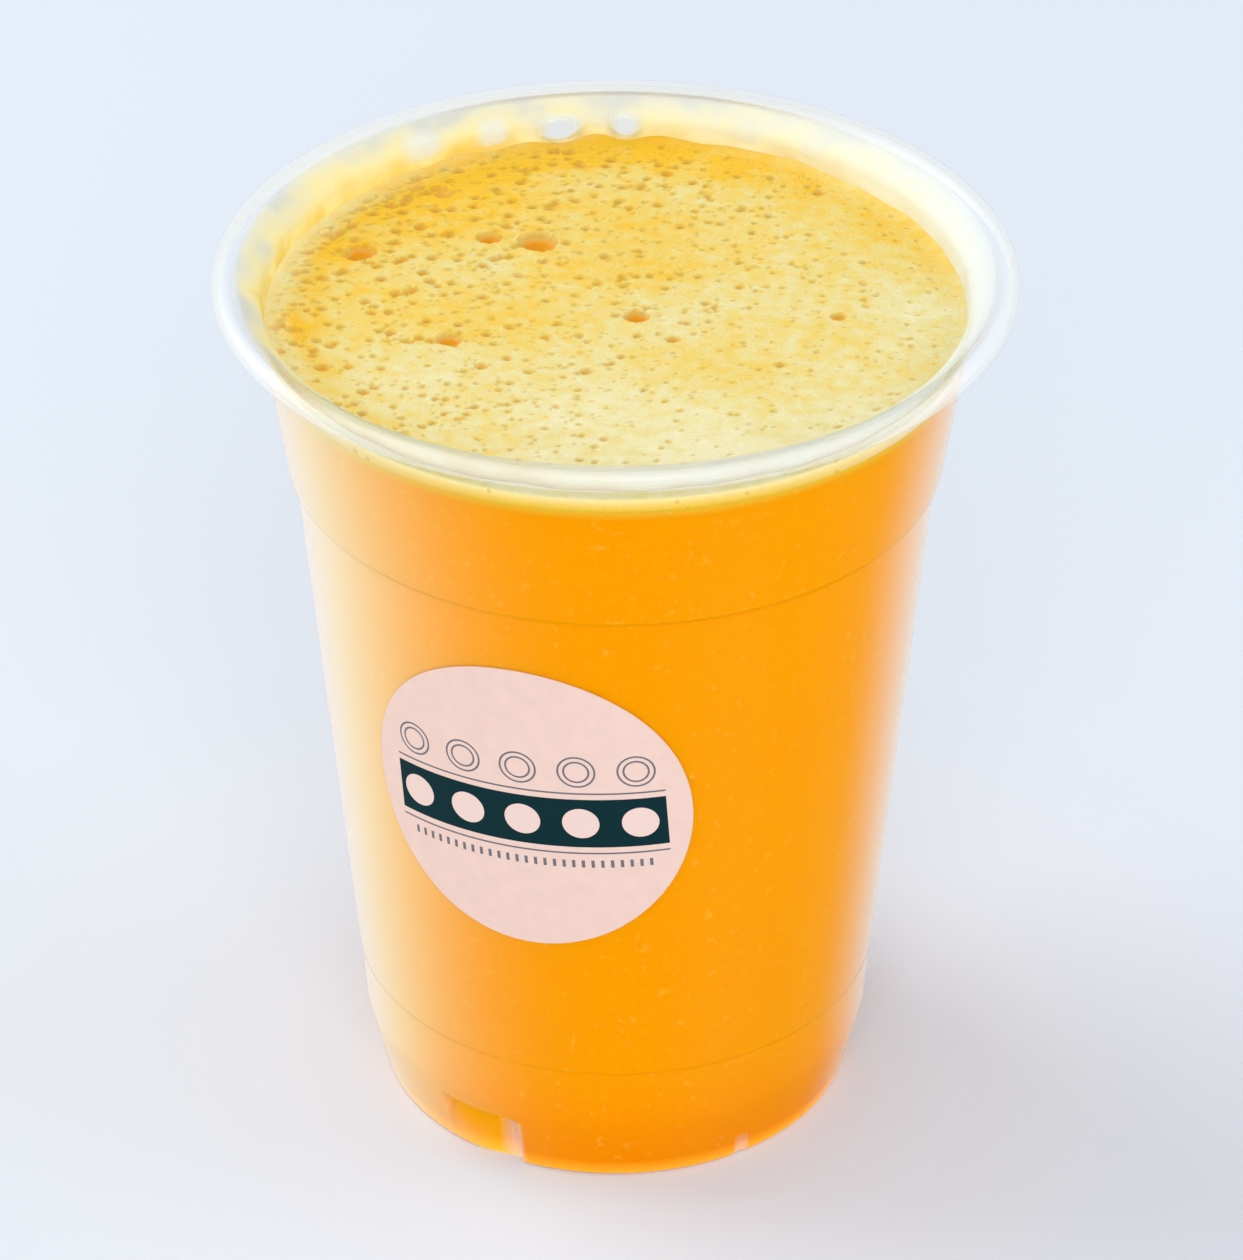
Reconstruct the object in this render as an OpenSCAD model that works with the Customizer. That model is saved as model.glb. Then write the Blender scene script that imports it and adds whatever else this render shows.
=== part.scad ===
// Clear takeaway cup of orange juice with a froth on top and a round sticker on its wall.
// Millimetres, +Z up, origin at the centre of the foot, sticker facing -Y.

/* [Cup] */
// Height of the cup, foot to the top of the rim
cup_h = 112; // [100:1:135]
// Outer radius of the rolled rim
rim_r = 47.5; // [45:0.5:52]
// Outer diameter of the roll at the rim
roll_d = 3; // [2.4:0.1:3.6]
// How far the wall starts to flare below the top
flare_drop = 3.4; // [3:0.1:5]
// How far the rim stands out from the wall below it
flare_w = 5.1; // [4:0.1:6.5]
// How far the stacking step lies below the top
step_drop = 26; // [18:0.5:42]
// How much the wall narrows from the flare down to the stacking step
upper_lean = 3.3; // [1.5:0.1:5]
// How far the wall steps out above the stacking step
step_out = 0.8; // [0.5:0.1:1.2]
// Height of the faint ring low on the wall
ring_z = 17.5; // [14:0.5:24]
// How far the wall steps out at the low ring
ring_out = 0.15; // [0.1:0.05:0.4]
// How far the wall stands out from the foot where the heel starts to curve in
heel_out = 2.3; // [1.5:0.1:3.5]
// Height at which the heel starts to curve in
heel_z = 9.5; // [9:0.5:12]
// Outer radius at the foot, before its edge is rounded
foot_r = 29; // [27:0.1:30.5]
// Width of the foot ring before its edges are rounded
foot_w = 4.2; // [3.6:0.1:6]
// How far the middle of the base is pushed up
base_up = 3; // [2:0.1:5]
// Thickness of the plastic
wall = 0.6; // [0.4:0.05:0.8]

/* [Lugs] */
// Number of recesses that keep stacked cups apart
lug_count = 3; // [2:1:6]
// Height of a recess
lug_h = 7.6; // [5:0.1:8.5]
// Angle that a recess covers
lug_angle = 20; // [14:1:26]
// Depth of a recess at its stepped end
lug_depth = 1.8; // [0.8:0.1:2]
// Depth of a recess at its ramped end
lug_lead = 0.15; // [0.05:0.05:0.4]
// Direction of the first recess's stepped end, from the sticker
lug_turn = -6; // [-60:1:60]
// Direction of the first vent notch, from the sticker
vent_turn = 50; // [0:1:90]
// Radius of a vent notch in the heel
vent_r = 0.8; // [0.4:0.1:1]
// Depth of a vent notch
vent_depth = 0.4; // [0.2:0.05:0.45]
// Height of a vent notch
vent_h = 2.2; // [1.5:0.1:4]

/* [Drink] */
// Depth of the froth's surface below the rim
froth_drop = 6; // [5.5:0.1:14]
// Thickness of the froth
froth_t = 2.5; // [1.5:0.1:4]
// How far the froth climbs the wall
climb = 0.5; // [0.1:0.1:0.9]
// Width of the strip where the froth climbs
climb_w = 1.8; // [1:0.1:4]
// Number of middle-sized bubbles
bubble_count = 26; // [0:1:40]
// Largest radius of a middle-sized bubble
bubble_r = 1; // [0.6:0.05:1.3]
// Direction of the froth's most bubbly side, from the sticker
busy_turn = 265; // [0:5:355]

/* [Sticker] */
// Diameter of the sticker
sticker_d = 40.8; // [30:0.2:46]
// How far the sticker's upper edge lies below the stacking step
sticker_drop = 7.5; // [3:0.1:20]
// Thickness of the sticker
sticker_t = 0.12; // [0.08:0.01:0.3]
// Thickness of the glue between sticker and wall
glue_t = 0.03; // [0.02:0.01:0.08]

/* [Hidden] */
$fn = 180;

past = 1;                          // how far a cutter reaches past what it cuts
arc_step = 18;                     // degrees between points on a rounded corner
edge_r = 0.8;                      // rounding at the foot's two edges
soft_r = 1.5;                      // rounding at the base panel and at the flare
heel_round = 14;                   // large curve between foot and wall
crease_r = wall + 0.1;             // rounding at the stacking step, so that its inside stays round too
lug_reach = 8;                     // how far a recess's cutter reaches outwards
roll_in = roll_d / 2 - wall;       // radius inside the roll
roll_c = [rim_r - roll_d / 2, cup_h - roll_d / 2];
roll_end = -70;                    // direction in which the roll stops, below the horizontal
neck = [rim_r - flare_w, cup_h - flare_drop];
step_z = cup_h - step_drop;
step_r = neck[0] - upper_lean - step_out;     // outer radius just under the stacking step
heel_r = foot_r + heel_out;
panel_lean = 0.45;                 // how far the raised panel's side leans for each mm of height
froth_z = cup_h - froth_drop;
juice_z = froth_z - froth_t;
panel_r = foot_r - foot_w - base_up * panel_lean;
sticker_z = step_z - sticker_drop - sticker_d / 2;
small = 0.45;                      // smallest middle-sized bubble, as a share of the largest
sink = 0.35;                       // how far a bubble's centre lies above the froth, as a share of its radius
bubble_gap = 0.3;                  // froth left between two bubbles

// Bubbles that show singly: [direction from the sticker, distance from the axis, radius]
BIG_BUBBLES = [
    [228, 18.6, 2], [70, 3.2, 1.4], [239, 23, 1.2], [308, 20.7, 1.4],
    [264, 33.5, 1.4], [104, 26.3, 1], [74, 23.1, 0.8], [61, 9.7, 0.8]
];

function unit(v) = v / norm(v);
function reversed(list) = [for (i = [len(list) - 1 : -1 : 0]) list[i]];
function direction(v) = atan2(v[1], v[0]);
function at_angle(c, r, a) = c + r * [cos(a), sin(a)];

// An arc as points, both ends included
function arc(c, r, from, to) =
    let (n = max(2, ceil(abs(to - from) / arc_step)))
    [for (i = [0 : n]) at_angle(c, r, from + (to - from) * i / n)];

// The corner b between a and c, rounded to radius r
function rounded(a, b, c, r) =
    let (
        u = unit(a - b),
        v = unit(c - b),
        half = acos(max(-1, min(1, u * v))) / 2,
        centre = b + unit(u + v) * r / sin(half),
        from = direction(b + u * r / tan(half) - centre),
        to = direction(b + v * r / tan(half) - centre),
        turn = to - from > 180 ? to - from - 360 : to - from < -180 ? to - from + 360 : to - from
    )
    arc(centre, r, from, from + turn);

// A path through corners [radius, height, rounding]
function rounded_path(corners) = [
    for (i = [0 : len(corners) - 1])
        let (p = corners[i], b = [p[0], p[1]])
        if (p[2] == 0) b
        else
            let (before = corners[i - 1], after = corners[i + 1])
            each rounded([before[0], before[1]], b, [after[0], after[1]], p[2])
];

// The same path moved to its left by t
function moved_left(path, t) = [
    for (i = [0 : len(path) - 1])
        let (
            d1 = unit(path[max(i, 1)] - path[max(i, 1) - 1]),
            d2 = unit(path[min(i, len(path) - 2) + 1] - path[min(i, len(path) - 2)]),
            n1 = [-d1[1], d1[0]],
            n2 = [-d2[1], d2[0]]
        )
        path[i] + t * (n1 + n2) / (1 + n1 * n2)
];

// Where a line from the neck meets the inside of the roll
flare_meets = direction(neck - roll_c) + 360 - acos(roll_in / norm(neck - roll_c));

// The face of the plastic that is away from the drink, from the middle of the base to the end of the roll
outer_path = concat(
    rounded_path([
        [0, base_up, 0],
        [panel_r, base_up, soft_r],
        [foot_r - foot_w, 0, edge_r],
        [foot_r, 0, edge_r],
        [heel_r, heel_z, heel_round],
        [wall_line(ring_z) - ring_out, ring_z, 0],
        [wall_line(ring_z), ring_z + ring_out, 0],
        [step_r, step_z, crease_r],
        [step_r + step_out, step_z + step_out, crease_r],
        [neck[0], neck[1], soft_r],
        [roll_c[0] + roll_in * cos(flare_meets), roll_c[1] + roll_in * sin(flare_meets), 0]
    ]),
    [for (p = arc(roll_c, roll_in, flare_meets, 90)) if (p[0] > roll_c[0] + roll_in * cos(flare_meets) + 0.01) p],
    [for (p = arc(roll_c, roll_in, 90, roll_end)) if (p[1] < roll_c[1] + roll_in - 0.01) p]
);
inner_path = moved_left(outer_path, wall);

// Outer radius of the straight wall between heel and stacking step
function wall_line(z) = heel_r + (step_r - heel_r) * (z - heel_z) / (step_z - heel_z);

// The inner path's stretch that goes up the wall, and its radius at a height
mouth_i = [for (i = [0 : len(inner_path) - 1]) if (inner_path[i][1] < neck[1]) i];
mouth = inner_path[mouth_i[len(mouth_i) - 1]];
wall_side = [for (p = inner_path) if (p[1] > heel_z && p[1] <= mouth[1]) p];
function inner_r(z) = lookup(z, [for (p = wall_side) [p[1], p[0]]]);

// Bubble places from a seeded draw, with more of them towards busy_turn
DRAW = rands(0, 1, 3 * max(1, bubble_count), 7);
MIDDLE_BUBBLES = [
    for (i = [0 : 1 : bubble_count - 1])
        let (
            side = 2 * DRAW[3 * i] - 1,
            reach = inner_r(froth_z) - climb_w - bubble_r
        )
        [
            busy_turn + 180 * side * abs(side),
            reach * sqrt(DRAW[3 * i + 1]),
            bubble_r * (small + (1 - small) * DRAW[3 * i + 2])
        ]
];
function place(b) = b[1] * [sin(b[0]), -cos(b[0])];
function apart(b, others) = min([for (o = others) norm(place(b) - place(o)) - b[2] - o[2]]) > bubble_gap;
function thinned(bubbles, kept, i) =
    i == len(bubbles) ? kept
    : thinned(bubbles, apart(bubbles[i], kept) ? concat(kept, [bubbles[i]]) : kept, i + 1);
BUBBLES = thinned(MIDDLE_BUBBLES, BIG_BUBBLES, 0);

// The recesses' cutter, a ramp that ends in a step. Inset moves its faces to the drink's side of the plastic.
module lug_cutter(inset) {
    lug_r = foot_r + heel_out / 4;
    start = [lug_r - lug_lead, 0];
    end = (lug_r - lug_depth) * [cos(lug_angle), sin(lug_angle)];
    along = unit(end - start);
    inward = inset * [-along[1], along[0]];
    for (k = [0 : lug_count - 1])
        rotate([0, 0, k * 360 / lug_count + lug_turn - 90 - lug_angle])
            translate([0, 0, -past])
                linear_extrude(height = lug_h + past + inset)
                    polygon([
                        start - lug_reach * along + inward,
                        end + inset * along + inward,
                        end + inset * along + lug_reach * unit(end),
                        start - lug_reach * along + [lug_reach, 0]
                    ]);
}

// Small upright notches in the heel, which let air out between stacked cups
module vent_cutter() {
    for (k = [0 : lug_count - 1])
        rotate([0, 0, k * 360 / lug_count + vent_turn - 90])
            translate([foot_r + vent_h * heel_out / heel_z + vent_r - vent_depth, 0, -past])
                cylinder(r = vent_r, h = past + vent_h);
}

// Everything on the drink's side of the plastic, up to the mouth
module inside() {
    difference() {
        rotate_extrude()
            polygon(concat(
                [for (i = mouth_i) inner_path[i]],
                [[mouth[0], mouth[1] + past], [0, mouth[1] + past]]
            ));
        lug_cutter(wall);
    }
}

module cup() {
    rim_part = [for (i = [mouth_i[len(mouth_i) - 1] : len(inner_path) - 1]) inner_path[i]];
    color([0.93, 0.96, 0.97, 0.35])
        difference() {
            rotate_extrude()
                polygon(concat(outer_path, reversed(rim_part), [[0, mouth[1]]]));
            lug_cutter(0);
            vent_cutter();
            inside();
        }
}

module juice() {
    color([0.98, 0.6, 0.02])
        difference() {
            rotate_extrude()
                polygon(concat(
                    [for (i = mouth_i) if (inner_path[i][1] < juice_z) inner_path[i]],
                    [[inner_r(juice_z), juice_z], [0, juice_z]]
                ));
            lug_cutter(wall);
        }
}

module froth() {
    top_r = inner_r(froth_z + climb);
    color([0.97, 0.86, 0.48])
        difference() {
            rotate_extrude()
                polygon(concat(
                    [[0, juice_z], [inner_r(juice_z), juice_z]],
                    [for (p = wall_side) if (p[1] > juice_z && p[1] < froth_z + climb) p],
                    [[top_r, froth_z + climb]],
                    [for (t = [0.25 : 0.25 : 1]) [top_r - climb_w * t, froth_z + climb * pow(1 - t, 2)]],
                    [[0, froth_z]]
                ));
            for (b = BUBBLES)
                translate([place(b)[0], place(b)[1], froth_z + b[2] * sink])
                    sphere(r = b[2], $fn = 32);
        }
}

// Outline of the sticker as seen along Y. It is a circle when the wall is rolled out flat.
function sticker_edge(t) =
    let (
        lean = norm([1, (step_r - heel_r) / (step_z - heel_z)]),
        z = sticker_z + sticker_d / 2 * sin(t) / lean,
        r = wall_line(z),
        around = sticker_d / 2 * cos(t) / r * 180 / PI
    )
    [r * sin(around), z];

module sticker() {
    low = sticker_z - sticker_d / 2 - past;
    high = sticker_z + sticker_d / 2 + past;
    color([0.95, 0.84, 0.81])
        intersection() {
            rotate_extrude()
                polygon([
                    [wall_line(low) + glue_t, low],
                    [wall_line(low) + glue_t + sticker_t, low],
                    [wall_line(high) + glue_t + sticker_t, high],
                    [wall_line(high) + glue_t, high]
                ]);
            rotate([90, 0, 0])
                linear_extrude(height = rim_r)
                    polygon([for (t = [0 : 5 : 355]) sticker_edge(t)]);
        }
}

cup();
juice();
froth();
sticker();
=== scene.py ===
import math
import random

import bpy
import numpy as np
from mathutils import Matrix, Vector


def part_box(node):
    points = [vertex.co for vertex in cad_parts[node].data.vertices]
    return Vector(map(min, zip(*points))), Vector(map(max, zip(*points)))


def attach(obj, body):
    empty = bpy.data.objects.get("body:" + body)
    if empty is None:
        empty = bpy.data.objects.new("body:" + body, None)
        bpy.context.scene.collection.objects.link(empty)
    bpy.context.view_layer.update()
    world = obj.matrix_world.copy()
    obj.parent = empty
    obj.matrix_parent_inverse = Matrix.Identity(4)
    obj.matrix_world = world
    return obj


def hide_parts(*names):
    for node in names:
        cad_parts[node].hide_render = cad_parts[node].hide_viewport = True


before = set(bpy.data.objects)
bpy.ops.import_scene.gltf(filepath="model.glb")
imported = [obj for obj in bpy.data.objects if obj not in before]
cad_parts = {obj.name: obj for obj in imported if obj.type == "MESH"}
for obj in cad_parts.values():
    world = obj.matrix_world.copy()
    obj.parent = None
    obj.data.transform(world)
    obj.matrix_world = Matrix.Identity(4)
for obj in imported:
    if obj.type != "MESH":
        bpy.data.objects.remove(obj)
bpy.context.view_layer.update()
scene = bpy.context.scene
mm = 0.001
turn = math.radians(1)

# where the cup's pieces lie, in millimetres
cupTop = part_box("cup")[1].z / mm
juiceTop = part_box("juice")[1].z / mm
stickerLow, stickerHigh = [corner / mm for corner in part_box("sticker")]
cupSize = {
    "rim": 47.5, "roll": 3.0, "wall": 0.6,
    "flareDrop": 3.4, "flareWidth": 5.1,
    "stepDrop": 26.0, "stepOut": 0.8, "upperLean": 3.3,
    "ringHeight": 17.5, "ringOut": 0.15,
    "heelHeight": 9.5, "heelOut": 2.3,
    "foot": 29.0, "footWidth": 4.2, "baseUp": 3.0,
}
neckRadius = cupSize["rim"] - cupSize["flareWidth"]
neckHeight = cupTop - cupSize["flareDrop"]
stepHeight = cupTop - cupSize["stepDrop"]
stepRadius = neckRadius - cupSize["upperLean"] - cupSize["stepOut"]
heelRadius = cupSize["foot"] + cupSize["heelOut"]
wallSlope = (stepRadius - heelRadius) / (stepHeight - cupSize["heelHeight"])
wallDroop = 3.3                 # how far the wall's outward direction dips over the wall's radius
acrossX, acrossY = 0.951, 0.309  # from the side that faces the window light, where the painted sheen is wide, to the far side


# small helpers

def clearSelection():
    if bpy.context.object and bpy.context.object.mode != "OBJECT":
        bpy.ops.object.mode_set(mode="OBJECT")
    bpy.ops.object.select_all(action="DESELECT")


def useOnly(piece):
    clearSelection()
    piece.select_set(True)
    bpy.context.view_layer.objects.active = piece


def applyModifiers(piece):
    useOnly(piece)
    for modifier in list(piece.modifiers):
        bpy.ops.object.modifier_apply(modifier=modifier.name)


def direction(v):
    return v / np.linalg.norm(v)


def arcPoints(centre, radius, start, end, step=12):
    count = max(2, math.ceil(abs(end - start) / step))
    angles = [(start + (end - start) * i / count) * turn for i in range(count + 1)]
    return [np.array([centre[0] + radius * math.cos(a), centre[1] + radius * math.sin(a)]) for a in angles]


def roundedPath(corners):
    # corners are (radius, height, rounding), as a profile from the middle of the base upwards
    path = []
    for i, (r, z, rounding) in enumerate(corners):
        here = np.array([r, z])
        if rounding == 0:
            path.append(here)
            continue
        back = direction(np.array(corners[i - 1][:2]) - here)
        ahead = direction(np.array(corners[i + 1][:2]) - here)
        half = math.acos(float(np.clip(back @ ahead, -1, 1))) / 2
        centre = here + direction(back + ahead) * rounding / math.sin(half)
        first = here + back * rounding / math.tan(half) - centre
        last = here + ahead * rounding / math.tan(half) - centre
        start = math.degrees(math.atan2(first[1], first[0]))
        end = math.degrees(math.atan2(last[1], last[0]))
        end = start + (end - start + 180) % 360 - 180
        path += arcPoints(centre, rounding, start, end, 8)
    return path


def wallLine(z):
    return heelRadius + wallSlope * (z - cupSize["heelHeight"])


def supported(path, longest=6.0, support=0.35):
    # extra points beside the ends of each long stretch keep its shading straight
    full = [path[0]]
    for before, after in zip(path, path[1:]):
        length = np.linalg.norm(after - before)
        along = (after - before) / length
        if length > 4 * support:
            inner = length - 2 * support
            count = max(1, math.ceil(inner / longest))
            full += [before + along * (support + inner * i / count) for i in range(count + 1)]
        full.append(after)
    return full


def setBack(path, distance):
    # moves a profile towards the drink
    moved = []
    for i, point in enumerate(path):
        before = direction(path[max(i, 1)] - path[max(i, 1) - 1])
        after = direction(path[min(i, len(path) - 2) + 1] - path[min(i, len(path) - 2)])
        n1 = np.array([-before[1], before[0]])
        n2 = np.array([-after[1], after[0]])
        moved.append(point + distance * (n1 + n2) / (1 + n1 @ n2))
    return moved


def mergeDoubles(piece):
    useOnly(piece)
    bpy.ops.object.mode_set(mode="EDIT")
    bpy.ops.mesh.select_all(action="SELECT")
    bpy.ops.mesh.remove_doubles(threshold=0.004 * mm)
    bpy.ops.mesh.normals_make_consistent(inside=False)
    bpy.ops.object.mode_set(mode="OBJECT")


def latheShape(name, outline, steps):
    # one point is extruded along the outline and spun round the cup's axis
    clearSelection()
    bpy.ops.mesh.primitive_plane_add(size=mm)
    piece = bpy.context.object
    piece.name = piece.data.name = name
    bpy.ops.object.mode_set(mode="EDIT")
    bpy.ops.mesh.select_all(action="SELECT")
    bpy.ops.mesh.merge(type="CENTER")
    points = [Vector((r * mm, 0, z * mm)) for r, z in outline]
    bpy.ops.transform.translate(value=points[0])
    for before, after in zip(points, points[1:]):
        bpy.ops.mesh.extrude_region_move(TRANSFORM_OT_translate={"value": after - before})
    bpy.ops.mesh.select_all(action="SELECT")
    bpy.ops.mesh.spin(steps=steps, angle=math.tau, center=(0, 0, 0), axis=(0, 0, 1))
    bpy.ops.object.mode_set(mode="OBJECT")
    mergeDoubles(piece)
    return piece


def vertexPlaces(piece):
    places = np.empty(len(piece.data.vertices) * 3)
    piece.data.vertices.foreach_get("co", places)
    return places.reshape(-1, 3) / mm


def placeVertices(piece, places):
    piece.data.vertices.foreach_set("co", (places * mm).ravel())
    piece.data.update()


def addLayer(piece, name, values):
    layer = piece.data.attributes.new(name, "FLOAT", "POINT")
    layer.data.foreach_set("value", values.astype(np.float32))


def faceOutwards(piece):
    # an open shell has no inside, so its wall's side tells which way it faces
    outward = sum(Vector((*face.center[:2], 0)).dot(face.normal) for face in piece.data.polygons)
    if outward < 0:
        piece.data.flip_normals()


def finishPiece(piece, material, node, smoothAngle=40):
    useOnly(piece)
    bpy.ops.object.shade_smooth_by_angle(angle=smoothAngle * turn)
    piece.data.materials.clear()
    piece.data.materials.append(material)
    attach(piece, "root")
    if node:
        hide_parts(node)
    print(piece.name, len(piece.data.vertices), "points")


def newMaterial(name):
    material = bpy.data.materials.new(name)
    material.use_nodes = True
    tree = material.node_tree
    tree.nodes.clear()
    output = tree.nodes.new("ShaderNodeOutputMaterial")
    return material, tree, output


def addNode(tree, kind, settings=None, inputs=None):
    node = tree.nodes.new("ShaderNode" + kind)
    for key, value in (settings or {}).items():
        setattr(node, key, value)
    for key, value in (inputs or {}).items():
        if isinstance(value, bpy.types.NodeSocket):
            tree.links.new(value, node.inputs[key])
        else:
            node.inputs[key].default_value = value
    return node


def maths(tree, operation, *values, clamp=False):
    node = addNode(tree, "Math", {"operation": operation, "use_clamp": clamp}, dict(enumerate(values)))
    return node.outputs[0]


def softStep(tree, value, start, end, most=1.0):
    node = addNode(tree, "MapRange", {"interpolation_type": "SMOOTHSTEP"}, {
        "Value": value, "From Min": start, "From Max": end, "To Max": most})
    return node.outputs[0]


def ramp(tree, factor, stops):
    node = addNode(tree, "ValToRGB", inputs={"Fac": factor})
    while len(node.color_ramp.elements) < len(stops):
        node.color_ramp.elements.new(0.5)
    for element, (place, colour) in zip(node.color_ramp.elements, stops):
        element.position = place
        element.color = (*colour, 1)
    return node.outputs["Color"]


def mixColours(tree, factor, first, second, blend="MIX"):
    node = addNode(tree, "MixRGB", {"blend_type": blend}, {
        "Fac": factor, "Color1": first, "Color2": second})
    return node.outputs["Color"]


# camera: low telephoto view of the cup, with the sticker a little to the left

cameraPlace = {
    "turn": 18.0, "distance": 650.0, "height": 478.3, "aim": 61.06,
    "lens": 181.5, "shift": 0.0046,
}


def addCamera():
    lens = bpy.data.cameras.new("camera")
    camera = bpy.data.objects.new("camera", lens)
    scene.collection.objects.link(camera)
    angle = cameraPlace["turn"] * turn
    camera.location = Vector((
        cameraPlace["distance"] * math.sin(angle),
        -cameraPlace["distance"] * math.cos(angle),
        cameraPlace["height"],
    )) * mm
    aim = Vector((0, 0, cameraPlace["aim"])) * mm
    camera.rotation_euler = (aim - camera.location).to_track_quat("-Z", "Y").to_euler()
    lens.lens = cameraPlace["lens"]
    lens.shift_x = cameraPlace["shift"]
    lens.clip_start = 0.01
    scene.camera = camera


addCamera()
scene.view_settings.view_transform = "Standard"
scene.cycles.transparent_max_bounces = 24
print("camera placed")


# the clear cup

lugs = {"count": 3, "height": 7.6, "angle": 20.0, "depth": 1.8, "lead": 0.15, "turn": -6.0}
vents = {"turn": 50.0, "radius": 0.8, "depth": 0.4, "height": 2.2}


def cupProfile():
    s = cupSize
    roll = s["roll"] / 2 - s["wall"]
    centre = np.array([s["rim"] - s["roll"] / 2, cupTop - s["roll"] / 2])
    neck = np.array([neckRadius, neckHeight])
    toNeck = neck - centre
    meets = math.degrees(math.atan2(toNeck[1], toNeck[0])) + 360
    meets -= math.degrees(math.acos(roll / np.linalg.norm(toNeck)))
    touch = centre + roll * np.array([math.cos(meets * turn), math.sin(meets * turn)])
    panel = s["foot"] - s["footWidth"] - s["baseUp"] * 0.45
    path = roundedPath([
        (0.0, s["baseUp"], 0),
        (panel, s["baseUp"], 1.5),
        (s["foot"] - s["footWidth"], 0.0, 0.8),
        (s["foot"], 0.0, 0.8),
        (s["foot"] + s["heelOut"] * lugs["height"] / s["heelHeight"], lugs["height"], 0),
        (s["foot"] + s["heelOut"] * (lugs["height"] + 0.2) / s["heelHeight"], lugs["height"] + 0.2, 0),
        (heelRadius, s["heelHeight"], 6.0),
        (wallLine(s["ringHeight"]) - s["ringOut"], s["ringHeight"], 0),
        (wallLine(s["ringHeight"]), s["ringHeight"] + s["ringOut"], 0),
        (stepRadius, stepHeight, s["wall"] + 0.1),
        (stepRadius + s["stepOut"], stepHeight + s["stepOut"], s["wall"] + 0.1),
        (neck[0], neck[1], 1.5),
        (touch[0], touch[1], 0),
    ])
    return supported(path + arcPoints(centre, roll, meets, -70, 14)[1:])


def lugRadius(angles, inset=0.0):
    # radius that the heel keeps in each direction: a ramp down to a step in each recess
    limit = np.full(angles.shape, 1e3)
    start = cupSize["foot"] + cupSize["heelOut"] / 4
    for k in range(lugs["count"]):
        end = lugs["turn"] + k * 360 / lugs["count"]
        into = (angles - end + lugs["angle"]) % 360
        share = np.clip(into / lugs["angle"], 0, 1)
        depth = start - lugs["lead"] - (lugs["depth"] - lugs["lead"]) * share
        limit = np.where(into < lugs["angle"] + 0.01, np.minimum(limit, depth - inset), limit)
    return limit


def shapeHeel(piece, inset=0.0):
    places = vertexPlaces(piece)
    radius = np.hypot(places[:, 0], places[:, 1])
    angles = np.degrees(np.arctan2(places[:, 0], -places[:, 1]))      # from the sticker
    low = places[:, 2] < lugs["height"] + inset + 0.05
    kept = np.where(low, np.minimum(radius, lugRadius(angles, inset)), radius)
    for k in range(lugs["count"]):
        away = np.abs((angles - vents["turn"] - k * 360 / lugs["count"] + 180) % 360 - 180) * turn * radius
        notch = np.clip(1 - (away / vents["radius"]) ** 2, 0, 1) * vents["depth"]
        kept -= np.where((places[:, 2] < vents["height"]) & (radius > cupSize["foot"] - 1), notch, 0)
    places[:, :2] *= (kept / np.maximum(radius, 1e-6))[:, None]
    placeVertices(piece, places)
    addLayer(piece, "recess", np.clip(radius - kept, 0, 1) * (radius > cupSize["foot"] - 1))
    mergeDoubles(piece)


def wallFacing(tree, place):
    # how far the smooth wall turns from the eye, so that small ledges and the heel don't glint
    flat = addNode(tree, "VectorMath", {"operation": "MULTIPLY_ADD"}, {
        0: place, 1: (1.0, 1.0, 0.0), 2: (0.0, 0.0, -wallDroop * mm)})
    outwards = addNode(tree, "VectorMath", {"operation": "NORMALIZE"}, {0: flat.outputs["Vector"]})
    weight = addNode(tree, "LayerWeight", inputs={"Blend": 0.5, "Normal": outwards.outputs["Vector"]})
    return weight.outputs["Facing"]


def paintPlastic(piece):
    # where the plastic is painted whiter: frosted neck and rolled rim, partly standing in for the roll's
    # reflections, and painted highlights at the lug steps and vent notches
    x, y, z = vertexPlaces(piece).T
    angles = np.degrees(np.arctan2(x, -y))
    milkyAndHighlight = 0.07 * np.clip((z - neckHeight) / 1.6, 0, 1)
    milkyAndHighlight += 0.18 * np.clip((np.hypot(x, y) - cupSize["rim"] + 1.8) / 1.0, 0, 1)
    for k in range(lugs["count"]):
        past = (angles - lugs["turn"] - k * 360 / lugs["count"] + 180) % 360 - 180
        # painted highlight where light comes through each lug's step
        milkyAndHighlight += 0.46 * (z < lugs["height"]) * np.interp(past, [-6.0, -2.0, 0.6, 1.6], [0, 0.7, 1, 0])
        # painted highlight in each vent notch
        away = np.abs((angles - vents["turn"] - k * 360 / lugs["count"] + 180) % 360 - 180)
        away *= turn * cupSize["foot"]
        milkyAndHighlight += np.where((away < vents["radius"]) & (z < vents["height"]), 0.3, 0)
    addLayer(piece, "milkyAndHighlight", milkyAndHighlight)


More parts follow.
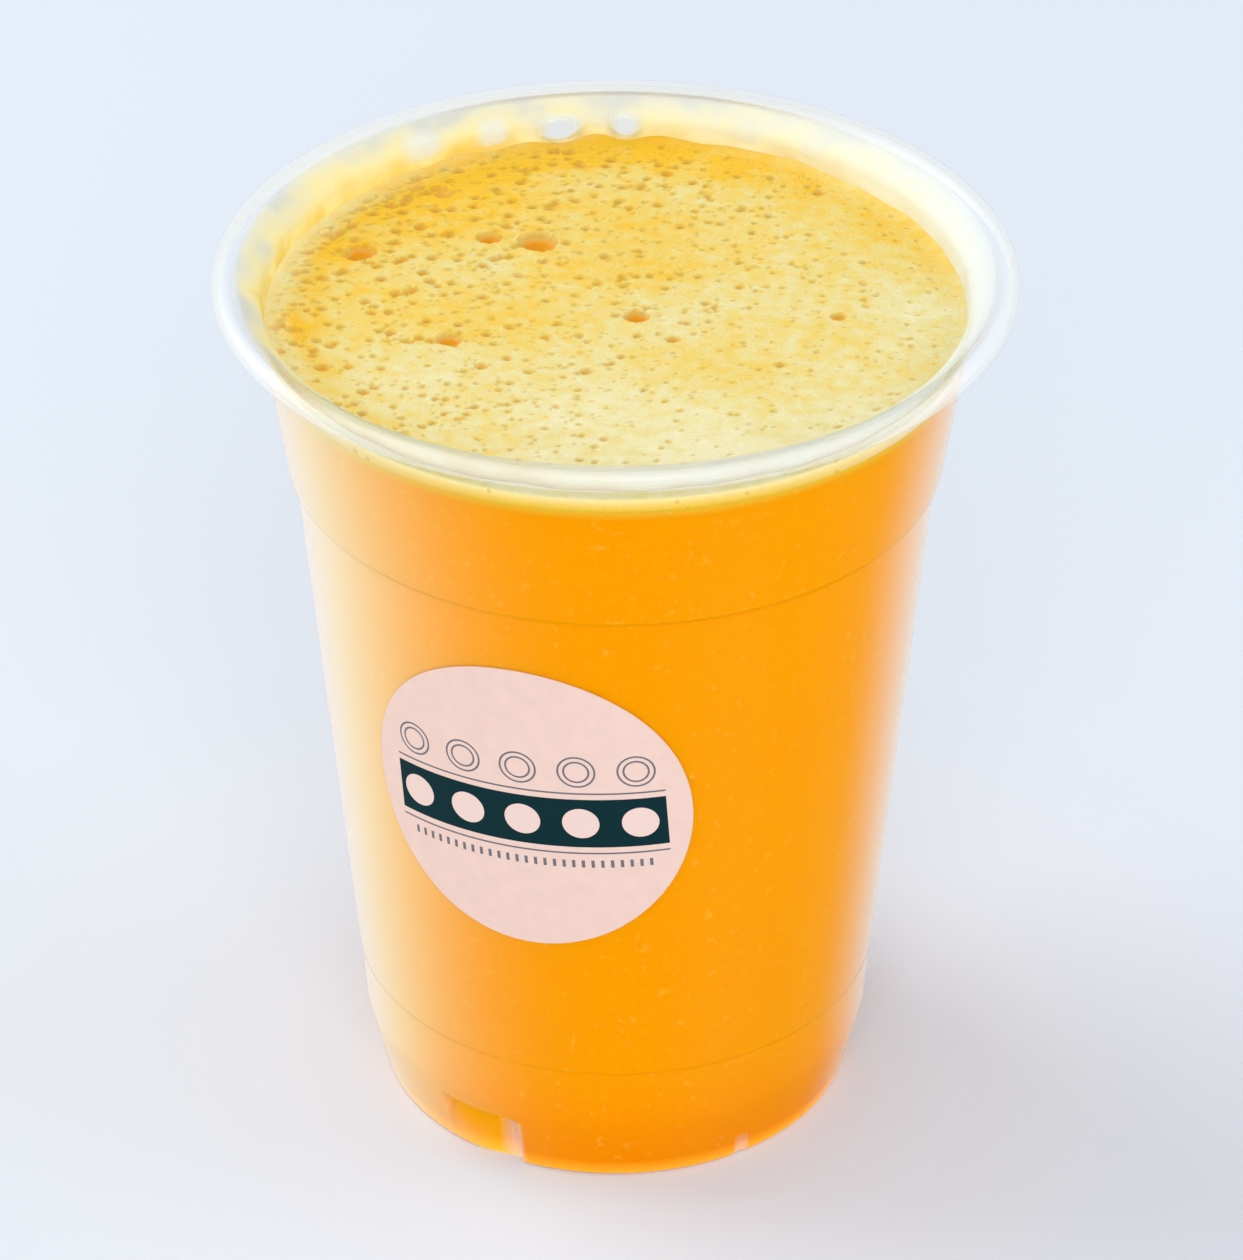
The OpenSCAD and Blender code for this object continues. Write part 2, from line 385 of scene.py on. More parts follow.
def clearPlastic():
    material, tree, output = newMaterial("clearPlastic")
    place = addNode(tree, "TexCoord").outputs["Object"]
    height = addNode(tree, "SeparateXYZ", inputs={0: place}).outputs["Z"]
    noise = addNode(tree, "TexNoise", inputs={"Vector": place, "Scale": 60.0, "Detail": 2.0})
    bump = addNode(tree, "Bump", inputs={
        "Height": noise.outputs["Fac"], "Strength": 0.05, "Distance": 0.6 * mm})
    milkyAndHighlight = addNode(tree, "Attribute", {"attribute_name": "milkyAndHighlight"}).outputs["Fac"]
    onRim = addNode(tree, "MapRange", inputs={
        "Value": height,
        "From Min": (neckHeight - 2.5) * mm, "From Max": (neckHeight - 0.5) * mm}).outputs[0]
    rimWeight = addNode(tree, "LayerWeight", inputs={"Blend": 0.5, "Normal": bump.outputs["Normal"]})
    facing = addNode(tree, "Mix", {"data_type": "FLOAT"}, {
        0: onRim, 2: wallFacing(tree, place), 3: rimWeight.outputs["Facing"]}).outputs[0]
    edge = maths(tree, "MULTIPLY", maths(tree, "POWER", facing, 6.0), 0.8)
    edge = maths(tree, "ADD", edge, 0.002)
    depth = maths(tree, "POWER", facing, 4.0)
    through = mixColours(tree, depth, (0.99, 0.993, 0.993, 1), (0.92, 0.915, 0.90, 1))
    clear = addNode(tree, "BsdfTransparent", inputs={"Color": through})
    white = addNode(tree, "BsdfPrincipled", inputs={
        "Base Color": (0.95, 0.945, 0.925, 1), "Roughness": 0.3, "Specular IOR Level": 0.5})
    gloss = addNode(tree, "BsdfGlossy", inputs={
        "Color": (1, 1, 1, 1), "Roughness": 0.08, "Normal": bump.outputs["Normal"]})
    # whiter plastic: frosted rim, painted reflection of the roll, painted highlights at the lug steps and
    # vent notches
    veiled = addNode(tree, "MixShader", inputs={0: milkyAndHighlight, 1: clear.outputs[0], 2: white.outputs[0]})
    # below the rim, glancing edges are half gloss and half white diffuse: painted sheen
    edgeWhiteShare = maths(tree, "MULTIPLY_ADD", onRim, -0.5, 0.5)
    glossAndPaintedSheen = addNode(tree, "MixShader", inputs={0: edgeWhiteShare, 1: gloss.outputs[0], 2: white.outputs[0]})
    mix = addNode(tree, "MixShader", inputs={0: edge, 1: veiled.outputs[0], 2: glossAndPaintedSheen.outputs[0]})
    tree.links.new(mix.outputs[0], output.inputs["Surface"])
    return material


def makeCup():
    cup = latheShape("clearCup", cupProfile(), 288)
    paintPlastic(cup)
    shapeHeel(cup)
    faceOutwards(cup)
    shell = cup.modifiers.new("plasticWall", "SOLIDIFY")
    shell.thickness = cupSize["wall"] * mm
    shell.offset = -1
    shell.use_even_offset = True
    applyModifiers(cup)
    finishPiece(cup, clearPlastic(), "cup", 50)


makeCup()
print("cup made")


# the juice, whose skin lies inside the plastic

juiceLook = {
    "orange": (0.93, 0.335, 0.0), "deep": (0.92, 0.30, 0.0), "low": (0.93, 0.265, 0.0),
    "topped": (0.93, 0.52, 0.04), "recess": (0.96, 0.37, 0.0), "fade": 1.5, "insideWall": 0.08,
    "paintedGlow": (1.0, 0.42, 0.05), "paintedGlowHeight": 2.5, "paintedGlowStrength": 0.6,
}
edgeSheen = {
    # how far the wall turns away where the painted edge sheen begins and where it is full, and its share
    # there
    "wide": (0.2, 0.88, 1.0), "narrow": (0.5, 0.95, 0.74),
    "wideSide": (20.0, -12.0), "lessBelow": 90.0, "less": 0.075,
}


def insideProfile(inset, low, high):
    widest = cupSize["rim"] - cupSize["roll"]
    return [p for p in setBack(cupProfile(), inset) if low <= p[1] < high and p[0] < widest]


def wallRadius(z, inset):
    side = [p for p in setBack(cupProfile(), inset) if p[1] > cupSize["heelHeight"] and p[1] < neckHeight]
    return np.interp(z, [p[1] for p in side], [p[0] for p in side])


def juiceMaterial():
    material, tree, output = newMaterial("orangeJuice")
    place = addNode(tree, "TexCoord").outputs["Object"]
    height = addNode(tree, "SeparateXYZ", inputs={0: place}).outputs["Z"]
    cloud = addNode(tree, "TexNoise", inputs={"Vector": place, "Scale": 22.0, "Detail": 3.0}).outputs["Fac"]
    pulp = addNode(tree, "TexNoise", inputs={"Vector": place, "Scale": 900.0, "Detail": 2.0}).outputs["Fac"]
    body = mixColours(tree, cloud, (*juiceLook["deep"], 1), (*juiceLook["orange"], 1))
    base = softStep(tree, height, 18 * mm, 3 * mm)
    body = mixColours(tree, base, body, (*juiceLook["low"], 1))
    # lighter orange in the heel's recesses: painted light that makes up for their shade
    recess = addNode(tree, "Attribute", {"attribute_name": "recess"}).outputs["Fac"]
    body = mixColours(tree, recess, body, (*juiceLook["recess"], 1))
    top = softStep(tree, height, (juiceTop - juiceLook["fade"]) * mm, (juiceTop + 0.5) * mm)
    colour = mixColours(tree, top, body, (*juiceLook["topped"], 1))
    flecks = addNode(tree, "MapRange", inputs={
        "Value": pulp, "From Min": 0.62, "From Max": 0.75, "To Max": 0.25})
    colour = mixColours(tree, flecks.outputs[0], colour, (1.0, 0.55, 0.08, 1))
    shader = addNode(tree, "BsdfPrincipled", {"subsurface_method": "RANDOM_WALK"}, {
        "Base Color": colour, "Roughness": 0.5, "Specular IOR Level": 0.0,
        "Subsurface Weight": 0.5, "Subsurface Radius": (1.0, 0.45, 0.1), "Subsurface Scale": 4 * mm,
        "Emission Color": (*juiceLook["paintedGlow"], 1)})
    # painted glow: the juice's foot emits orange light, standing in for light passing through the juice
    # onto the floor
    foot = addNode(tree, "MapRange", inputs={
        "Value": height, "From Min": juiceLook["paintedGlowHeight"] * mm, "From Max": 0.0,
        "To Max": juiceLook["paintedGlowStrength"]}).outputs[0]
    tree.links.new(foot, shader.inputs["Emission Strength"])

    # painted sheen towards the edges, half gloss and half flat diffuse colour, wider on the side that faces
    # the window light
    across = addNode(tree, "VectorMath", {"operation": "DOT_PRODUCT"}, {
        0: place, 1: (acrossX, acrossY, 0)})
    windowSide = softStep(
        tree, across.outputs["Value"], edgeSheen["wideSide"][0] * mm, edgeSheen["wideSide"][1] * mm)
    facing = wallFacing(tree, place)
    lower = addNode(tree, "MapRange", inputs={
        "Value": height, "From Min": edgeSheen["lessBelow"] * mm, "From Max": 0.0,
        "To Max": edgeSheen["less"]}).outputs[0]
    facing = maths(tree, "SUBTRACT", facing, lower)
    wide = softStep(tree, facing, *edgeSheen["wide"])
    narrow = softStep(tree, facing, *edgeSheen["narrow"])
    share = addNode(tree, "Mix", {"data_type": "FLOAT"}, {0: windowSide, 2: narrow, 3: wide}).outputs[0]
    share = maths(tree, "MULTIPLY", share, maths(tree, "SUBTRACT", 1.0, recess))
    yellowish = ramp(tree, facing, [
        (0.45, (1.0, 1.0, 0.62)), (0.65, (1.0, 0.93, 0.66)), (0.88, (1.0, 0.84, 0.70))])
    tint = mixColours(tree, windowSide, (1.0, 0.90, 0.80, 1), yellowish)
    gloss = addNode(tree, "BsdfGlossy", inputs={"Color": tint, "Roughness": 0.5})
    paintedSheenDiffuse = addNode(tree, "BsdfDiffuse", inputs={"Color": tint})
    sheen = addNode(tree, "MixShader", inputs={0: 0.5, 1: gloss.outputs[0], 2: paintedSheenDiffuse.outputs[0]})
    mix = addNode(tree, "MixShader", inputs={0: share, 1: shader.outputs[0], 2: sheen.outputs[0]})
    tree.links.new(mix.outputs[0], output.inputs["Surface"])
    return material


def makeJuice():
    inset = juiceLook["insideWall"]
    outline = insideProfile(inset, 0, juiceTop)
    outline += [np.array([wallRadius(juiceTop, inset), juiceTop]), np.array([0.0, juiceTop])]
    juice = latheShape("orangeJuice", outline, 288)
    shapeHeel(juice, inset)
    finishPiece(juice, juiceMaterial(), "juice", 50)


makeJuice()
print("juice made")


# the froth: a fine sheet with open bubbles, a soft edge up the wall and a side band

froth = {
    "surface": cupTop - 6.0, "insideWall": 0.08, "cells": 290,
    "climb": 0.5, "climbWidth": 2.4, "climbLean": 0.15,
    "backClimb": 1.9, "backTurn": 195.0, "backSpread": 62.0,
    "bubbles": 1700, "smallest": 0.22, "spread": 0.66, "swell": 0.12,
}
# open bubbles that stand out: x, y and radius
openBubbles = [
    (-13.8, 12.4, 2.4), (3.0, -1.1, 1.6), (-19.7, 11.8, 1.6), (-16.3, -12.8, 1.6), (-33.2, 3.7, 1.9),
    (-33.6, -1.4, 0.8), (-28.5, 11.8, 0.9), (-28.7, 20.4, 0.9), (-32.4, 17.6, 0.8), (25.5, 6.3, 0.95),
    (27.2, 11.1, 0.5), (27.9, 9.6, 0.45), (28.3, 12.6, 0.4), (22.2, -6.3, 0.7), (8.6, -4.7, 0.9),
    (-21.7, -27.3, 0.8), (-28.2, -23.4, 0.9), (-10.6, -17.7, 0.8), (-8.4, -15.0, 0.6), (-5.7, -8.8, 0.6),
    (1.2, -14.6, 0.8), (7.0, 27.8, 0.7), (-4.3, 33.7, 0.8), (14.7, 34.8, 0.8), (10.6, 15.3, 0.6),
]
# clear bubbles along the back of the wall: direction, height, half width and how clear
wallBubbles = [
    (207.3, 107.9, 2.6, 0.95), (196.4, 108.0, 1.9, 0.9), (219.0, 108.4, 2.1, 0.5),
    (232.0, 108.8, 2.6, 0.45), (176.0, 108.9, 2.2, 0.3), (163.0, 109.0, 1.8, 0.25),
]
clearest = 2            # the first of them stand out as whole bubbles
bubbleWall = 41.6       # radius of the wall's inside where they cling


def drawBubbles():
    # many small open bubbles, most of them and the largest towards the busy side
    draw = random.Random(11)
    bubbles = list(openBubbles)
    reach = wallRadius(froth["surface"], 0.6) - 1.0
    while len(bubbles) < froth["bubbles"]:
        distance = reach * math.sqrt(draw.random())
        angle = draw.uniform(0, math.tau)
        x = distance * math.sin(angle)
        y = -distance * math.cos(angle)
        busy = 0.5 - 0.5 * (x * 0.93 - y * 0.3) / reach        # 1 on the busy side
        if draw.random() > 0.12 + 0.88 * busy ** 1.3:
            continue
        radius = froth["smallest"] + froth["spread"] * draw.random() ** 2.8 * (0.25 + 0.75 * busy)
        bubbles.append((x, y, radius))
    return bubbles


def frothClimb(angles):
    # how far the froth creeps up the wall in each direction, with dips at the clear bubbles
    off = (angles - froth["backTurn"] + 180) % 360 - 180
    behind = np.exp(-((off / froth["backSpread"]) ** 2) * 2)
    climb = froth["climb"] + (froth["backClimb"] - froth["climb"]) * behind
    climb *= 1 + 0.25 * np.sin(angles * turn * 11 + 1) + 0.2 * np.sin(angles * turn * 29)
    for bubbleTurn, height, half, clearness in wallBubbles:
        away = np.abs((angles - bubbleTurn + 180) % 360 - 180) * turn * bubbleWall
        climb *= 1 - 0.8 * clearness * np.exp(-((away / half) ** 2))
    return climb


def frothMaterial():
    material, tree, output = newMaterial("froth")
    place = addNode(tree, "TexCoord").outputs["Object"]
    hollow = addNode(tree, "Attribute", {"attribute_name": "hollow"}).outputs["Fac"]
    tone = addNode(tree, "Attribute", {"attribute_name": "tone"}).outputs["Fac"]
    height = addNode(tree, "SeparateXYZ", inputs={0: place}).outputs["Z"]
    wide = addNode(tree, "TexNoise", inputs={"Vector": place, "Scale": 55.0, "Detail": 3.0}).outputs["Fac"]
    fine = addNode(tree, "TexVoronoi", {"feature": "SMOOTH_F1"}, {
        "Vector": place, "Scale": 1900.0, "Smoothness": 0.3, "Randomness": 1.0}).outputs["Distance"]
    cells = addNode(tree, "TexNoise", inputs={
        "Vector": place, "Scale": 480.0, "Detail": 3.0}).outputs["Fac"]
    deeper = maths(tree, "ADD", tone, maths(tree, "MULTIPLY_ADD", wide, 1.3, -0.65))
    deeper = maths(tree, "ADD", deeper, maths(tree, "MULTIPLY_ADD", cells, 1.0, -0.5))
    warm = ramp(tree, deeper, [
        (0.0, (0.70, 0.64, 0.38)), (0.3, (0.67, 0.58, 0.26)),
        (0.6, (0.69, 0.52, 0.13)), (1.0, (0.74, 0.44, 0.02))])
    skin = ramp(tree, fine, [(0.0, (0.80, 0.76, 0.66)), (0.25, (1, 1, 1))])
    warm = mixColours(tree, 0.5, warm, skin, "MULTIPLY")
    side = softStep(tree, height, (froth["surface"] - 0.3) * mm, juiceTop * mm)
    banded = ramp(tree, side, [(0.1, (0.95, 0.80, 0.36)), (1.0, (0.93, 0.54, 0.04))])
    edged = maths(tree, "MULTIPLY", side, 5.0, clamp=True)
    # painted sheen: the side band turns paler where the wall turns from the eye
    bandSheen = softStep(tree, wallFacing(tree, place), *edgeSheen["wide"])
    banded = mixColours(tree, bandSheen, banded, (0.93, 0.83, 0.62, 1))
    warm = mixColours(tree, edged, warm, banded)
    # fine pores, more of them where the froth is deeper in tone
    pore = addNode(tree, "TexVoronoi", inputs={"Vector": place, "Scale": 620.0})
    chance = addNode(tree, "SeparateColor", inputs={0: pore.outputs["Color"]}).outputs[0]
    kept = maths(tree, "LESS_THAN", chance, maths(tree, "MULTIPLY_ADD", tone, 0.75, 0.05))
    soft = softStep(tree, pore.outputs["Distance"], 0.30, 0.12, 0.5)
    warm = mixColours(tree, maths(tree, "MULTIPLY", soft, kept), warm, (0.70, 0.40, 0.035, 1))
    # open bubbles show the juice below, darkened inside the hollows as painted shade
    bubble = ramp(tree, hollow, [(0.5, (0.56, 0.36, 0.04)), (0.95, (0.74, 0.32, 0.004))])
    colour = mixColours(tree, hollow, warm, bubble)
    # painted light: the froth's rim on the window side is lightened, standing in for light coming through
    # the wall
    edge = addNode(tree, "Attribute", {"attribute_name": "edge"}).outputs["Fac"]
    colour = mixColours(tree, edge, colour, (0.97, 0.90, 0.50, 1))
    bump = addNode(tree, "Bump", inputs={"Height": fine, "Strength": 0.35, "Distance": 0.25 * mm})
    shader = addNode(tree, "BsdfPrincipled", {"subsurface_method": "RANDOM_WALK"}, {
        "Base Color": colour, "Roughness": 0.45, "Specular IOR Level": 0.15,
        "Subsurface Weight": 0.35, "Subsurface Radius": (1.0, 0.6, 0.2), "Subsurface Scale": 1.2 * mm,
        "Normal": bump.outputs["Normal"]})
    tree.links.new(shader.outputs[0], output.inputs["Surface"])
    return material


def makeFroth():
    clearSelection()
    cells = froth["cells"]
    bpy.ops.mesh.primitive_grid_add(x_subdivisions=cells, y_subdivisions=cells, size=2 * mm)
    sheet = bpy.context.object
    sheet.name = sheet.data.name = "frothLayer"

    # the square grid becomes a round one
    u, v = vertexPlaces(sheet)[:, :2].T
    x = u * np.sqrt(1 - v * v / 2)
    y = v * np.sqrt(1 - u * u / 2)
    share = np.hypot(x, y)
    angles = np.degrees(np.arctan2(x, -y))

    edgeRadius = wallRadius(froth["surface"], froth["insideWall"])
    radius = share * edgeRadius
    fromWall = np.clip((edgeRadius - radius) / froth["climbWidth"], 0, 1)
    z = froth["surface"] + frothClimb(angles) * (1 - fromWall) ** 3
    wider = 1 + (z - froth["surface"]) * froth["climbLean"] / edgeRadius * (1 - fromWall)
    places = np.stack([x * edgeRadius * wider, y * edgeRadius * wider, z], axis=1)

    # soft swell of the whole surface
    px, py = places[:, 0], places[:, 1]
    swell = np.sin(px * 0.21 + 1.0) * np.cos(py * 0.17) + 0.5 * np.sin(px * 0.43 - py * 0.37)
    places[:, 2] += froth["swell"] * swell * fromWall

    hollow = np.zeros(len(places))
    drop = np.zeros(len(places))
    for bx, by, r in drawBubbles():
        near = np.where((np.abs(px - bx) < r * 1.6) & (np.abs(py - by) < r * 1.6))[0]
        away = np.hypot(px[near] - bx, py[near] - by) / r
        bowl = np.sqrt(np.clip(1 - away ** 2, 0, 1))
        lip = np.exp(-((away - 1.12) / 0.16) ** 2)
        deep = r * (0.8 if r > 0.5 else 0.6)
        drop[near] = np.minimum(drop[near], -deep * bowl) + 0.10 * r * lip * (drop[near] > -0.05)
        hollow[near] = np.maximum(hollow[near], np.clip(bowl * 1.5, 0, 1) * min(1.0, 0.45 + r * 0.45))
    places[:, 2] += drop * np.clip(fromWall * 2, 0, 1)
    placeVertices(sheet, places)

    # deeper yellow at the back and round the busy edge, pale at the front
    away = places[:, 1] * acrossX - places[:, 0] * acrossY
    across = places[:, 0] * acrossX + places[:, 1] * acrossY
    busy = np.clip(0.5 - (across * 0.75 - away * 0.66) / edgeRadius * 0.7, 0, 1)
    tone = 0.48 + 0.010 * away - 0.002 * across
    around = np.radians(angles)
    uneven = 0.6 + 0.4 * np.sin(around * 17 + share * 23) * np.sin(around * 7 - share * 31)
    flank = np.abs(np.sin(around - froth["backTurn"] * turn)) ** 1.5
    ringEnd = 1.0 - 0.06 * flank
    ringed = np.clip((share - 0.78) / 0.12, 0, 1) * np.clip((ringEnd - share) / 0.06, 0, 1)
    tone += 0.60 * busy ** 1.5 * ringed * uneven
    # painted light along the froth's rim on the window side
    addLayer(sheet, "edge", 0.5 * flank * busy * np.clip((share - 0.90) / 0.09, 0, 1))
    tone += 0.10 * (1 - busy) * np.clip((share - 0.82) / 0.10, 0, 1)
    addLayer(sheet, "hollow", hollow)
    addLayer(sheet, "tone", tone)

    # the side band down to the juice and a closed underside
    useOnly(sheet)
    bpy.ops.object.mode_set(mode="EDIT")
    bpy.ops.mesh.select_all(action="SELECT")
    bpy.ops.mesh.region_to_loop()
    bpy.ops.mesh.extrude_edges_move(TRANSFORM_OT_translate={"value": (0, 0, -1 * mm)})
    bpy.ops.object.mode_set(mode="OBJECT")
    places = vertexPlaces(sheet)
    chosen = np.array([vertex.select for vertex in sheet.data.vertices])
    around = np.arctan2(places[chosen, 0], -places[chosen, 1])
    lowRadius = wallRadius(juiceTop, froth["insideWall"])
    places[chosen] = np.stack(
        [lowRadius * np.sin(around), -lowRadius * np.cos(around), np.full(around.shape, juiceTop)], axis=1)
    placeVertices(sheet, places)
    bpy.ops.object.mode_set(mode="EDIT")
    bpy.ops.mesh.edge_face_add()
    bpy.ops.mesh.select_all(action="SELECT")
    bpy.ops.mesh.normals_make_consistent(inside=False)
    bpy.ops.object.mode_set(mode="OBJECT")
    finishPiece(sheet, frothMaterial(), "froth", 70)


makeFroth()
print("froth made")


# the thin creamy film that the froth leaves on the wall above it, open at the clear bubbles

film = {"low": 105.6, "high": 111.4, "offWall": 0.03, "thickness": 0.04, "rings": 32}


def filmMaterial():
    material, tree, output = newMaterial("frothFilm")
    place = addNode(tree, "TexCoord").outputs["Object"]
    cover = addNode(tree, "Attribute", {"attribute_name": "cover"}).outputs["Fac"]
    patchy = addNode(tree, "TexNoise", inputs={
        "Vector": place, "Scale": 150.0, "Detail": 5.0}).outputs["Fac"]
    pale = addNode(tree, "Attribute", {"attribute_name": "pale"}).outputs["Fac"]
    height = addNode(tree, "SeparateXYZ", inputs={0: place}).outputs["Z"]
    up = addNode(tree, "MapRange", inputs={
        "Value": height, "From Min": film["low"] * mm, "From Max": film["high"] * mm}).outputs[0]
    up = maths(tree, "ADD", up, maths(tree, "MULTIPLY_ADD", patchy, 1.7, -0.88))
    colour = ramp(tree, up, [
        (0.0, (0.90, 0.65, 0.12)), (0.2, (0.91, 0.73, 0.22)), (0.42, (0.91, 0.80, 0.36)),
        (0.75, (0.80, 0.75, 0.49)), (1.0, (0.66, 0.65, 0.55))])
    colour = mixColours(tree, pale, colour, (0.82, 0.86, 0.82, 1))
    # painted dark line where the rim refracts at the back
    rimRefractionLine = addNode(tree, "Attribute", {"attribute_name": "rimRefractionLine"}).outputs["Fac"]
    colour = mixColours(tree, rimRefractionLine, colour, (0.42, 0.36, 0.27, 1))
    share = maths(tree, "MULTIPLY", cover, maths(tree, "MULTIPLY_ADD", patchy, 0.5, 0.75), clamp=True)
    clear = addNode(tree, "BsdfTransparent", inputs={"Color": (1, 1, 1, 1)})
    wet = addNode(tree, "BsdfPrincipled", inputs={
        "Base Color": colour, "Roughness": 0.5, "Specular IOR Level": 0.2})
    mix = addNode(tree, "MixShader", inputs={0: share, 1: clear.outputs[0], 2: wet.outputs[0]})
    tree.links.new(mix.outputs[0], output.inputs["Surface"])
    return material


def makeFilm():
    inside = [p for p in setBack(cupProfile(), cupSize["wall"] + film["offWall"]) if p[1] > stepHeight]
    turnsBack = int(np.argmax([p[1] for p in inside]))
    heights = np.linspace(film["low"], film["high"], film["rings"])
    radii = np.interp(heights, [p[1] for p in inside[:turnsBack]], [p[0] for p in inside[:turnsBack]])
    ring = latheShape("frothFilm", list(zip(radii, heights)), 360)
    faceOutwards(ring)
    places = vertexPlaces(ring)
    angles = np.degrees(np.arctan2(places[:, 0], -places[:, 1]))
    z = places[:, 2]
    cover = np.interp(z, [froth["surface"], 108.8, 110.0, 111.0, 111.4], [0.95, 0.88, 0.72, 0.40, 0.10])
    thinSide = 0.5 + 0.5 * np.cos((angles - 95) * turn)
    pale = 0.9 * thinSide ** 2
    cover *= 1 - 0.30 * thinSide ** 3
    # a fine dark line along the top of the film at the back: painted shade standing in for the rim's
    # refraction
    behind = (angles - froth["backTurn"] + 180) % 360 - 180
    rimRefractionLine = 0.8 * np.exp(-((behind / 32) ** 4)) * np.exp(-(((z - 111.15) / 0.16) ** 2))
    for bubbleTurn, height, half, clearness in wallBubbles:
        away = ((angles - bubbleTurn + 180) % 360 - 180) * turn * bubbleWall / half
        rise = (z - height) / min(half * 0.75, 1.5)
        window = clearness * np.exp(-((np.abs(away) ** 3 + np.abs(rise) ** 3) ** 1.5))
        cover *= 1 - window
        pale = np.maximum(pale, window)
    addLayer(ring, "cover", np.maximum(cover, rimRefractionLine))
    addLayer(ring, "pale", pale)
    addLayer(ring, "rimRefractionLine", rimRefractionLine)
    shell = ring.modifiers.new("thickness", "SOLIDIFY")
    shell.thickness = film["thickness"] * mm
    shell.offset = -1
    applyModifiers(ring)
    finishPiece(ring, filmMaterial(), None, 60)


makeFilm()
print("film made")


# clear bubbles that cling to the back of the wall, joined into one piece

def bubbleFilm():
    material, tree, output = newMaterial("bubbleFilm")
    facing = addNode(tree, "LayerWeight", inputs={"Blend": 0.5}).outputs["Facing"]
    share = maths(tree, "MULTIPLY_ADD", maths(tree, "POWER", facing, 3.0), 0.35, 0.05)
    clear = addNode(tree, "BsdfTransparent", inputs={"Color": (0.99, 0.99, 0.98, 1)})
    gloss = addNode(tree, "BsdfGlossy", inputs={"Color": (1, 1, 1, 1), "Roughness": 0.25})
    mix = addNode(tree, "MixShader", inputs={0: share, 1: clear.outputs[0], 2: gloss.outputs[0]})
    tree.links.new(mix.outputs[0], output.inputs["Surface"])
    return material


def makeWallBubbles():
    made = []
    for bubbleTurn, height, half, _ in wallBubbles[:clearest]:
        clearSelection()
        bpy.ops.mesh.primitive_uv_sphere_add(segments=24, ring_count=16, radius=mm)
        bubble = bpy.context.object
        along, out, up = vertexPlaces(bubble).T
        # flattened against the wall, squarer than a ball
        along = np.sign(along) * np.abs(along) ** 0.85 * half
        up = np.sign(up) * np.abs(up) ** 0.85 * min(half * 0.8, 1.7)
        depth = (out + 1) * 0.5 * half * 0.22
        z = height + up
        radius = wallRadius(z, cupSize["wall"]) - 0.02 - depth
        angle = bubbleTurn * turn - along / radius
        placeVertices(bubble, np.stack([radius * np.sin(angle), -radius * np.cos(angle), z], axis=1))
        made.append(bubble)
    clearSelection()
    for bubble in made:
        bubble.select_set(True)
    bpy.context.view_layer.objects.active = made[0]
    bpy.ops.object.join()
    joined = bpy.context.object
    joined.name = joined.data.name = "wallBubbles"
    mergeDoubles(joined)
    finishPiece(joined, bubbleFilm(), None, 60)


makeWallBubbles()
print("wall bubbles made")


# the round sticker, with plain generic print

sticker = {"thickness": 0.12, "glue": 0.03, "cells": 72, "printTurn": 2.5}
stickerPrint = {
    # heights above the sticker's middle, and how far the print reaches to each side
    "reach": (-17.0, 17.3), "band": (-5.1, 2.1), "upperLine": (2.85, 3.1), "lowerLine": (-6.15, -5.9),
    "pitch": 7.04, "dotHeight": -1.5, "dotRadius": 2.2,
    "hoopHeight": 6.2, "innerHoop": (1.35, 1.6), "outerHoop": (2.05, 2.3), "hoopReach": 17.2,
    "ticks": (-8.2, -7.1), "tickPitch": 1.15, "tickHalf": 0.2, "tickReach": 15.5,
}


